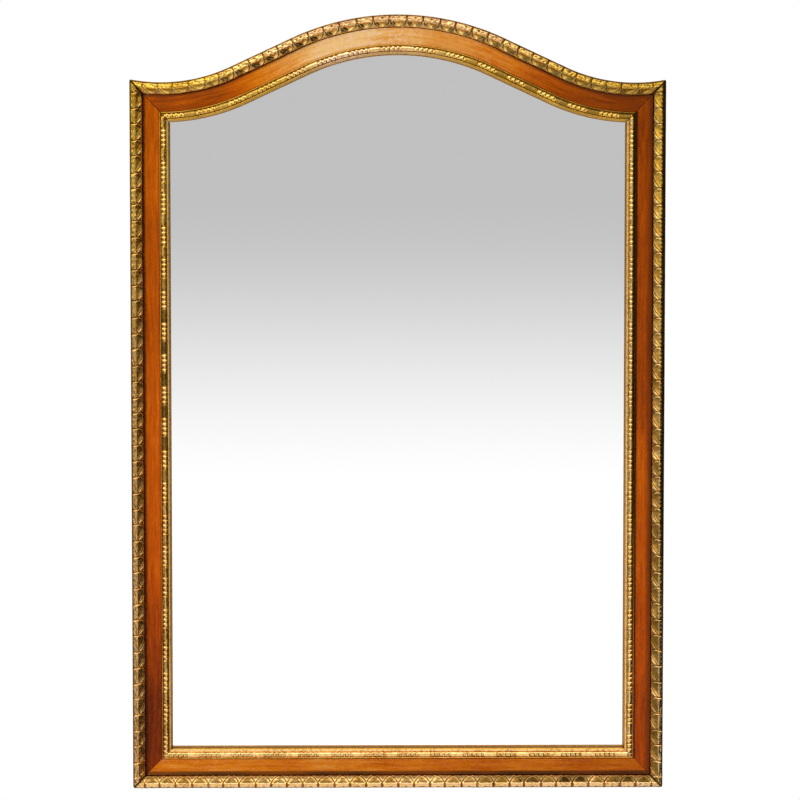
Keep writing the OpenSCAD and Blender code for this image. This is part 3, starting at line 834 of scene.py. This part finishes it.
def gilt_material():
    """Old leaf gilding: mottled gold, yellower above and tan below, pale on raised parts where they are worn
    and where highlights are painted, with red-brown ground where it is rubbed, a few chips to the white
    ground, and brown dirt and painted shade in the hollows and on faces turned from the light."""
    n = Surface("aged_gilding")
    pale_gold, pink_gold = srgb(254, 218, 146), srgb(240, 200, 174)
    red_ground, white_ground = srgb(168, 108, 70), srgb(240, 208, 184)
    brown_film_and_shade, dark_soot_and_shade = srgb(126, 92, 26), srgb(52, 34, 6)
    place = n.object_place()
    grime_and_shade = n.attribute("grime_and_shade")
    proud_and_highlight = n.attribute("proud_and_highlight")
    broad = n.noise(place, 26, 3)
    mottle = n.noise(place, 230, 4, 0.6)
    fine = n.noise(place, 800, 3, 0.6)
    leaf = n.weigh((mottle, 0.65), (broad, 0.35))
    yellow = n.ramp(leaf, (0.36, srgb(178, 124, 18)), (0.5, srgb(228, 176, 50)), (0.62, srgb(250, 214, 96)))
    tan = n.ramp(leaf, (0.36, srgb(176, 118, 34)), (0.5, srgb(226, 168, 72)), (0.62, srgb(248, 206, 122)))
    gold = n.mix(n.grade(n.parts(place)[2], 0.55, 0.95, 0.0, 0.85), tan, yellow)
    # Raised and lit places turn pale gold: wear with a painted highlight
    gold = n.mix(n.times(proud_and_highlight, n.grade(mottle, 0.4, 0.58, 0.2, 0.72)), gold, pale_gold)
    gold = n.mix(n.times(n.attribute("blush"), n.grade(broad, 0.3, 0.6, 0.5, 1.0)), gold, pink_gold)
    rubbed = n.grade(n.plus(mottle, n.attribute("red")), 0.6, 1.15)
    rub = n.times(rubbed, n.grade(broad, 0.36, 0.58, 0.4, 1.0))
    chip = n.times(n.grade(n.noise(place, 420, 2), 0.62, 0.68), n.times(proud_and_highlight, 0.8))
    worn = n.mix(chip, n.mix(rub, gold, red_ground), white_ground)
    # Brown film and dark soot paint dirt and shade where the gilding is hollow or turned from the light
    ragged = n.plus(grime_and_shade, n.times(n.math("SUBTRACT", mottle, 0.5), 0.7))
    film_and_shade = n.grade(ragged, 0.1, 0.55)
    soot_and_shade = n.grade(ragged, 0.55, 1.0)
    colour = n.mix(n.times(film_and_shade, 0.85), worn, brown_film_and_shade)
    colour = n.mix(n.times(soot_and_shade, 0.9), colour, dark_soot_and_shade)
    dirt = n.weigh((film_and_shade, 0.5), (soot_and_shade, 0.5))
    dull = n.math("MAXIMUM", n.math("MAXIMUM", dirt, n.times(rub, 0.6)), chip)
    n.set(
        Base_Color=colour,
        Metallic=n.math("SUBTRACT", 1.0, n.times(dull, 0.35)),
        Roughness=n.plus(n.times(fine, 0.14), n.math("MULTIPLY_ADD", dull, 0.45, 0.14)),
        Specular_IOR_Level=0.2, Specular_Tint=(*srgb(240, 196, 120), 1),
        Coat_Weight=0.05, Coat_Roughness=0.2, Coat_IOR=1.5,
    )
    n.bump(n.plus(n.times(fine, 0.2), mottle), 0.28, 0.0006)
    return n.material


def frieze_material():
    """Red-brown polished hardwood with fine lengthwise grain under a clear varnish."""
    n = Surface("polished_walnut")
    dark_pore, pale_scuff, brown_grime_and_shade = srgb(84, 30, 2), srgb(240, 200, 168), srgb(66, 34, 8)
    along = n.times(n.attribute("along"), MM)
    across = n.times(n.attribute("across"), MM)
    flow = n.vector(along, across, n.times(n.parts(n.object_place())[0], 0.4))
    wave = n.noise(n.stretch(flow, (9, 26, 9)), 1.0, 2)
    bent = n.vector(along, n.plus(across, n.times(wave, 0.012)), 0.0)
    figure = n.noise(n.stretch(bent, (14, 240, 1)), 1.0, 4, 0.6)
    grain = n.noise(n.stretch(bent, (50, 1500, 1)), 1.0, 3, 0.65)
    pores = n.noise(n.stretch(bent, (260, 3200, 1)), 1.0, 2, 0.6)
    cloud = n.noise(n.stretch(flow, (11, 14, 11)), 1.0, 3)
    speckle = n.noise(n.stretch(flow, (500, 800, 500)), 1.0, 2, 0.6)
    streak = n.weigh((figure, 0.45), (grain, 0.35), (cloud, 0.3), (speckle, 0.16))
    # tone lightens the wood's colour, partly as a painted sheen of light and painted shade
    shade = n.plus(n.times(n.math("SUBTRACT", streak, 0.63), 1.3), n.attribute("tone"))
    red = n.ramp(
        shade,
        (0.0, srgb(96, 30, 0)), (0.2, srgb(142, 52, 0)), (0.42, srgb(186, 74, 0)), (0.6, srgb(210, 100, 8)),
        (0.85, srgb(226, 150, 66)), (1.0, srgb(236, 186, 118)),
    )
    amber = n.ramp(
        shade,
        (0.0, srgb(96, 38, 0)), (0.2, srgb(140, 64, 2)), (0.42, srgb(184, 92, 2)), (0.6, srgb(208, 122, 14)),
        (0.85, srgb(228, 162, 72)), (1.0, srgb(238, 194, 126)),
    )
    colour = n.mix(n.attribute("amber"), red, amber)
    colour = n.mix(n.times(n.grade(pores, 0.6, 0.72), 0.45), colour, dark_pore)
    patches = n.grade(n.noise(n.stretch(flow, (150, 240, 150)), 1.0, 5, 0.75), 0.47, 0.62)
    colour = n.mix(n.times(patches, n.attribute("scuff")), colour, pale_scuff)
    # Dirt and a painted shadow along the edges of the facing, beside the mouldings
    ragged = n.plus(n.times(n.math("SUBTRACT", cloud, 0.5), 0.8), 1.0)
    edge_grime_and_shade = n.math("MULTIPLY", n.attribute("dirt"), ragged, clamp=True)
    colour = n.mix(edge_grime_and_shade, colour, brown_grime_and_shade)
    n.set(Base_Color=colour, Roughness=n.grade(grain, 0.3, 0.7, 0.4, 0.55), Specular_IOR_Level=0.08)
    n.set(Coat_Weight=0.06, Coat_Roughness=0.2, Coat_IOR=1.5)
    n.bump(n.weigh((figure, 0.5), (grain, 0.3)), 0.08, 0.0006)
    return n.material


def mirror_material():
    """Silvered plate glass."""
    n = Surface("silvered_glass")
    haze = n.noise(n.object_place(), 6, 2)
    n.set(Base_Color=n.mix(haze, (0.97, 0.975, 0.975), (0.985, 0.985, 0.985)), Metallic=1.0, Roughness=0.0)
    return n.material


def plain_wood_material(name, low, high, along_z):
    """Planed wood with grain along x or z, bare on the back and toned with a thin dark wash elsewhere."""
    n = Surface(name)
    place = n.object_place()
    scale = (260, 260, 9) if along_z else (9, 260, 260)
    rings = n.noise(n.stretch(place, scale), 1.0, 4, 0.6, 0.4)
    fibre = n.noise(n.stretch(place, tuple(v * 6 for v in scale)), 1.0, 2, 0.6)
    tone = n.weigh((rings, 0.7), (fibre, 0.3))
    bare = n.ramp(tone, (0.35, low), (0.65, high))
    stain = n.grade(n.noise(place, 9, 4), 0.3, 0.75, 0.55, 1.0)
    washed = n.mix(n.times(stain, 0.92), bare, srgb(74, 48, 20))
    facing_back = n.grade(n.parts(n.normal())[1], 0.3, 0.8)
    colour = n.mix(facing_back, washed, bare)
    n.set(Base_Color=colour, Roughness=n.grade(fibre, 0.3, 0.7, 0.62, 0.8), Specular_IOR_Level=0.3)
    n.bump(tone, 0.25, 0.0005)
    return n.material


def board_material():
    """Thin brown board, fibrous and darkened with age."""
    n = Surface("backing_board")
    place = n.object_place()
    fibre = n.noise(n.stretch(place, (700, 700, 90)), 1.0, 4, 0.7)
    stain = n.noise(place, 5, 5, 0.6)
    tone = n.weigh((fibre, 0.45), (stain, 0.55))
    n.set(Base_Color=n.ramp(tone, (0.35, srgb(104, 76, 48)), (0.6, srgb(140, 106, 70))), Roughness=0.85)
    n.bump(fibre, 0.3, 0.0004)
    return n.material


def steel_material():
    """Bright steel with a fine drawn grain and a few dull spots."""
    n = Surface("hanger_steel")
    place = n.object_place()
    grain = n.noise(n.stretch(place, (1200, 300, 300)), 1.0, 3)
    spots = n.grade(n.noise(place, 160, 4), 0.56, 0.72)
    colour = n.mix(n.times(spots, 0.6), srgb(198, 196, 190), srgb(120, 104, 84))
    rough = n.weigh((grain, 0.2), (spots, 0.25))
    n.set(Base_Color=colour, Metallic=1.0, Roughness=n.plus(rough, 0.2))
    n.bump(grain, 0.1, 0.0002)
    return n.material


def dress(obj, material):
    """Gives an object one material and no other."""
    obj.data.materials.clear()
    obj.data.materials.append(material)


# Pieces

CARVED = {
    "top": Values(
        seed=11, lean=0.4, flanks=(2.4, 2.4), crest=9.2, lobe=0.42, dish=0.8, upright=False,
        pits=(0.55, 0.55), pit_w=4.4, pit_stray=3, shade_fall=0.9,
        red=((0.2, 0.38, 0.62, 0.8), (0.1, 0.4, 0.4, 0.15)), shade=((0.2, 0.4, 1), (0.1, 0.15, 0.1)),
        side_dirt=ends(0.2, 0.3), glow=((0.1, 0.4, 0.6, 0.9), (0.1, 0.8, 0.7, 0.1)),
        blush=((0.15, 0.3, 0.6, 0.8), (0, 0.35, 0.35, 0)),
        weak=((0, 0.15, 0.3, 0.8, 1), (0.6, 0.5, 0, 0, 0.4)),
        tarnish=((0.1, 0.35, 0.6, 0.75, 0.9), (0.22, 0, 0.05, 0.25, 0.33)),
    ),
    "bottom": Values(
        seed=23, lean=0, flanks=(1.8, 1.8), crest=7.9, lobe=0.46, dish=0.3, upright=False,
        pits=(1, 1), pit_w=1.3, pit_stray=1, shade_fall=0,
        red=ends(0.2, 0.2), shade=((0, 0.55, 0.75, 1), (0.3, 0.25, 0.8, 0.75)),
        side_dirt=ends(0.2, 0.2), glow=ends(0.6, 0.6), blush=ends(0.15, 0.35),
        weak=((0.5, 0.7), (0.3, 0.05)), tarnish=ends(0, 0.05),
    ),
    "left": Values(
        seed=37, lean=-0.6, flanks=(1.8, 2.4), crest=9.0, lobe=0.46, dish=0.4, upright=True,
        pits=(0.9, 0.2), pit_w=1.3, pit_stray=1, shade_fall=0,
        red=ends(0.35, 0.1), shade=((0, 0.5, 0.7, 0.9), (0.25, 0.3, 0.3, 0)),
        side_dirt=ends(0.3, 0.45), glow=ends(0.35, 0.05), blush=ends(0.2, 0),
        weak=((0.3, 0.6, 0.7, 1), (0.3, 0.05, 0, 0.35)),
        tarnish=((0, 0.3, 0.6, 0.8, 1), (0.05, 0.15, 0.25, 0.22, 0.12)),
    ),
    "right": Values(
        seed=53, lean=-0.5, flanks=(1.6, 4.8), crest=7.4, lobe=0.46, dish=0.35, upright=True,
        pits=(0.9, 0.1), pit_w=1.3, pit_stray=1, shade_fall=0,
        red=ends(0.2, 0.2), shade=((0, 0.35, 0.55, 1), (0.55, 0.5, 0.35, 0.35)),
        side_dirt=((0, 0.2, 0.38, 1), (0.1, 0.45, 1, 1)), glow=((0.3, 0.6), (0.7, 0.15)),
        blush=ends(0.15, 0), weak=((0.4, 0.6), (0, 0.5)), tarnish=((0.3, 0.6, 1), (0, 0.15, 0.2)),
    ),
}
BEADED = {
    "top": Values(
        seed=16, pale=0.35, seam=0.5, lip_dirt=0.3, dirt=((0.2, 0.4, 1), (0.3, 0.15, 0.5)),
        notch=ends(0.7, 0.9), waist=ends(2.1, 2.0), blush=((0.25, 0.38, 0.52, 0.65), (0, 0.75, 0.4, 0)),
        bar_dirt=((0.1, 0.35, 0.55, 0.7), (0.3, 0.1, 0.2, 0.42)),
    ),
    "bottom": Values(
        seed=28, pale=1.1, seam=0, lip_dirt=0, dirt=ends(0.05, 0.1),
        notch=ends(0.1, 0.1), waist=ends(2.5, 2.5), bar_dirt=ends(0, 0), blush=ends(0.1, 0.1),
    ),
    "left": Values(
        seed=42, pale=0.4, seam=0.4, lip_dirt=0.2, dirt=ends(0.1, 0.15),
        notch=((0.3, 0.55), (0.3, 1.1)), waist=((0.3, 0.55), (2.5, 1.8)),
        bar_dirt=((0.4, 0.5, 0.68, 0.76), (0.1, 0.75, 0.75, 0.15)), blush=ends(0, 0),
    ),
    "right": Values(
        seed=58, pale=1.2, seam=0, lip_dirt=0, dirt=((0, 0.15, 0.4, 1), (0.05, 0.2, 0.9, 1)),
        notch=ends(0.3, 0.3), waist=ends(2.4, 2.4), bar_dirt=ends(0, 0), blush=ends(0, 0),
    ),
}
# tone paints a sheen of light on the top rail's crown and shade low on the left stile, over the wood's own
# tone
FACING = {
    "top": Values(
        seed=20, amber=ends(0.7, 0.7), outer_dirt=(0.5, 4.0, 0.7), inner_dirt=(0.3, 2.0, 0.5), clean=0.8,
        tone=((0.08, 0.15, 0.22, 0.3, 0.36, 0.43, 0.57, 0.64, 0.71, 0.78, 0.85, 0.92),
              (0.26, 0.2, 0.55, 0.85, 0.95, 1, 0.8, 0.74, 0.55, 0.28, 0.26, 0.12)),
        scuff=((0.25, 0.34, 0.41, 0.5, 0.56, 0.66, 0.8), (0, 0.45, 1, 0.8, 0.15, 0.15, 0)),
    ),
    "bottom": Values(
        seed=32, amber=ends(0.7, 0.6), outer_dirt=(3.4, 6.0, 0.85), inner_dirt=(0.3, 2.0, 0.85), clean=0,
        tone=((0, 0.5, 1), (0.58, 0.55, 0.4)), scuff=ends(0.08, 0.06),
    ),
    "left": Values(
        seed=46, amber=ends(0, 0.7), outer_dirt=(1, 4.5, 0.65), inner_dirt=(0.4, 3.0, 0.4), clean=0,
        tone=((0.08, 0.16, 0.3, 0.45, 0.6, 0.7, 0.8, 0.9),
              (0.05, 0.17, 0.34, 0.44, 0.38, 0.33, 0.31, 0.36)), scuff=ends(0.02, 0),
    ),
    "right": Values(
        seed=62, amber=ends(0, 0.55), outer_dirt=(0.5, 10.5, 0.8), inner_dirt=(0.4, 3.0, 0.7), clean=0,
        tone=((0, 0.16, 0.45, 0.55, 0.8, 1), (0.32, 0.4, 0.4, 0.28, 0.27, 0.24)), scuff=ends(0.03, 0),
    ),
}
GILT = gilt_material()
WALNUT = frieze_material()

for which in ("top", "bottom", "left", "right"):
    piece = carved_edge(which, CARVED[which])
    dress(piece, GILT)
    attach(piece, "frame")
    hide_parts("carved_" + which)

    piece = beaded_edge(which, BEADED[which])
    dress(piece, GILT)
    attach(piece, "frame")
    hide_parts("beading_" + which)

    piece = frieze(which, FACING[which])
    dress(piece, WALNUT)
    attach(piece, "frame")
    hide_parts("frieze_" + which)

PINE = (srgb(150, 112, 68), srgb(188, 150, 100))
BEECH = (srgb(160, 120, 78), srgb(190, 152, 106))
pine_up = plain_wood_material("pine_upright", *PINE, True)
pine_level = plain_wood_material("pine_level", *PINE, False)
beech = plain_wood_material("beech", *BEECH, True)
steel = steel_material()
CAD_FINISH = {
    "core_left": pine_up, "core_right": pine_up, "core_top": pine_level, "core_bottom": pine_level,
    "corner_keys": beech, "setting_blocks": beech, "backing_board": board_material(),
    "mirror_plate": mirror_material(), "glazing_points": steel, "hanger_screws": steel,
    "hanger_strap_left": steel, "hanger_strap_right": steel,
    "hanger_ring_left": steel, "hanger_ring_right": steel,
}
for node_name, material in CAD_FINISH.items():
    dress(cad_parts[node_name], material)


# Stage, light and camera, in metres

# A bright patch of the room that the gilding shows as highlights: direction, edge as a cosine, and strength
SPOT_TOWARDS, SPOT_EDGE, SPOT_LEVEL = (-0.62, -0.74, 0.3), 0.93, 1.2
# Strength of the even light on faces that don't gloss
SOFT_LIGHT = 0.12
# Lamps: place, target, size and power
LAMPS = {
    "key": ((-1.9, -1.9, 1.25), (0, 0, 0.55), (0.6, 0.6), 72),
    "fill": ((1.6, -2.4, 0.6), (0, 0, 0.5), (1.0, 1.6), 5),
    "back": ((0.9, 2.6, 1.3), (0, 0, 0.5), (1.2, 1.2), 70),
}
FLOOR_DROP, FLOOR_REACH = 0.9, 6.0
CAMERA_PLACE = (-0.0353, -3.508, 0.7174)
CAMERA_TIP, CAMERA_TURN = 0.0544, 0.0109
CAMERA_LENS, SENSOR_W = 116.16, 36


def room_level(n, x, y, z):
    """How bright the room is in each direction: a card in front, greyest at eye level, bright sides, a
    bright band over the card, a dim ceiling, one bright patch, and a haze that fades to the right."""
    card = n.plus(n.grade(z, -0.099, 0.027, 0.92, 0.422), n.grade(z, 0.1, 0.3, 0.0, 0.5))
    card = n.times(card, n.grade(z, 0.6, 0.8, 1.0, 0.0))
    card_span = n.times(n.grade(x, -0.45, -0.25), n.grade(x, 0.22, 0.4, 1.0, 0.0))
    left_side = n.times(n.grade(x, -0.5, -0.75), n.grade(z, -0.01, 0.04, 0.35, 0.95))
    right_side = n.times(n.grade(x, 0.7, 0.85), n.grade(z, 0.02, 0.07, 0.03, 0.7))
    sides = n.times(n.plus(left_side, right_side), n.grade(z, 0.2, 0.35, 1.0, 0.0))
    sides = n.times(sides, n.grade(y, -0.2, -0.05, 1.0, 0.05))
    ceiling = n.grade(z, 0.7, 0.95, 0.0, 0.3)
    near_spot = n.new("VectorMath", n.vector(x, y, z), Vector(SPOT_TOWARDS).normalized())
    near_spot.operation = "DOT_PRODUCT"
    spot = n.grade(near_spot.outputs["Value"], SPOT_EDGE, 1.0, 0.0, SPOT_LEVEL)
    band = n.times(n.grade(z, 0.36, 0.5), n.grade(z, 0.7, 0.85, 2.4, 0.0))
    band = n.times(band, n.grade(n.math("ABSOLUTE", x), 0.7, 0.95, 1.0, 0.0))
    band = n.times(band, n.grade(y, -0.3, 0.0, 1.0, 0.0))
    haze = n.grade(x, 0.2, 0.7, 0.12, 0.015)
    level = n.times(card_span, card)
    for light in (sides, ceiling, spot, band, haze):
        level = n.plus(level, light)
    return level


def world_light():
    """White to the camera, soft for diffuse light, and a room for polished and gilded faces."""
    world = bpy.data.worlds.new("studio")
    bpy.context.scene.world = world
    world.use_nodes = True
    n = Nodes(world.node_tree)
    out = n.new("OutputWorld")
    level = room_level(n, *n.parts(n.new("TexCoord").outputs["Generated"]))
    room, soft, seen = (n.new("Background") for _ in range(3))
    n.put(room.inputs["Color"], n.vector(level, level, level))
    soft.inputs["Strength"].default_value = SOFT_LIGHT
    for plain in (soft, seen):
        plain.inputs["Color"].default_value = (1, 1, 1, 1)
    path = n.new("LightPath")
    unseen = n.between(path.outputs["Is Glossy Ray"], soft, room)
    n.put(out.inputs[0], n.between(path.outputs["Is Camera Ray"], unseen, seen).outputs[0])


def area_light(name, place, target, size, power):
    """A soft rectangular lamp aimed at a point, which gloss doesn't show."""
    lamp = bpy.data.lights.new(name, "AREA")
    lamp.shape = "RECTANGLE"
    lamp.size, lamp.size_y = size
    lamp.energy = power
    obj = add_object(name, lamp)
    obj.location = place
    obj.rotation_euler = (Vector(target) - Vector(place)).to_track_quat("-Z", "Y").to_euler()
    obj.visible_glossy = False


def floor():
    """A wide pale floor, well below the mirror as it hangs."""
    mesh = bpy.data.meshes.new("floor")
    square = ((-1, -1), (1, -1), (1, 1), (-1, 1))
    corners = [(FLOOR_REACH * x, FLOOR_REACH * y, -FLOOR_DROP) for x, y in square]
    mesh.from_pydata(corners, [], [(0, 1, 2, 3)])
    obj = add_object("floor", mesh)
    n = Surface("pale_floor")
    n.set(Base_Color=(0.85, 0.85, 0.85, 1), Roughness=0.9)
    path = n.new("LightPath")
    seen = n.math("MAXIMUM", path.outputs["Is Camera Ray"], path.outputs["Is Glossy Ray"])
    x, y, _ = n.parts(n.object_place())
    aside = n.plus(n.math("ABSOLUTE", x), n.times(y, 0.2))
    strip = n.times(n.grade(aside, 0.4, 0.8, 1.0, 0.0), n.grade(y, -1.2, 0.0, 1.0, 0.3))
    shine = n.plus(strip, n.grade(x, 0.2, 1.0, 0.2, 0.04))
    glow = n.new("Emission")
    glow.inputs["Color"].default_value = (1, 1, 1, 1)
    n.put(glow.inputs["Strength"], n.math("MAXIMUM", path.outputs["Is Camera Ray"], shine))
    n.put(n.out.inputs[0], n.between(seen, n.shader, glow).outputs[0])
    dress(obj, n.material)


def camera():
    """The photograph's view: straight on, a little above the middle and tipped down."""
    data = bpy.data.cameras.new("camera")
    data.sensor_width = SENSOR_W
    data.lens = CAMERA_LENS
    obj = add_object("camera", data)
    obj.location = CAMERA_PLACE
    obj.rotation_euler = (math.pi / 2 - CAMERA_TIP, 0, -CAMERA_TURN)
    bpy.context.scene.camera = obj


bpy.context.scene.view_settings.view_transform = "Standard"
world_light()
for lamp_name, (place, target, size, power) in LAMPS.items():
    area_light(lamp_name, place, target, size, power)
floor()
camera()
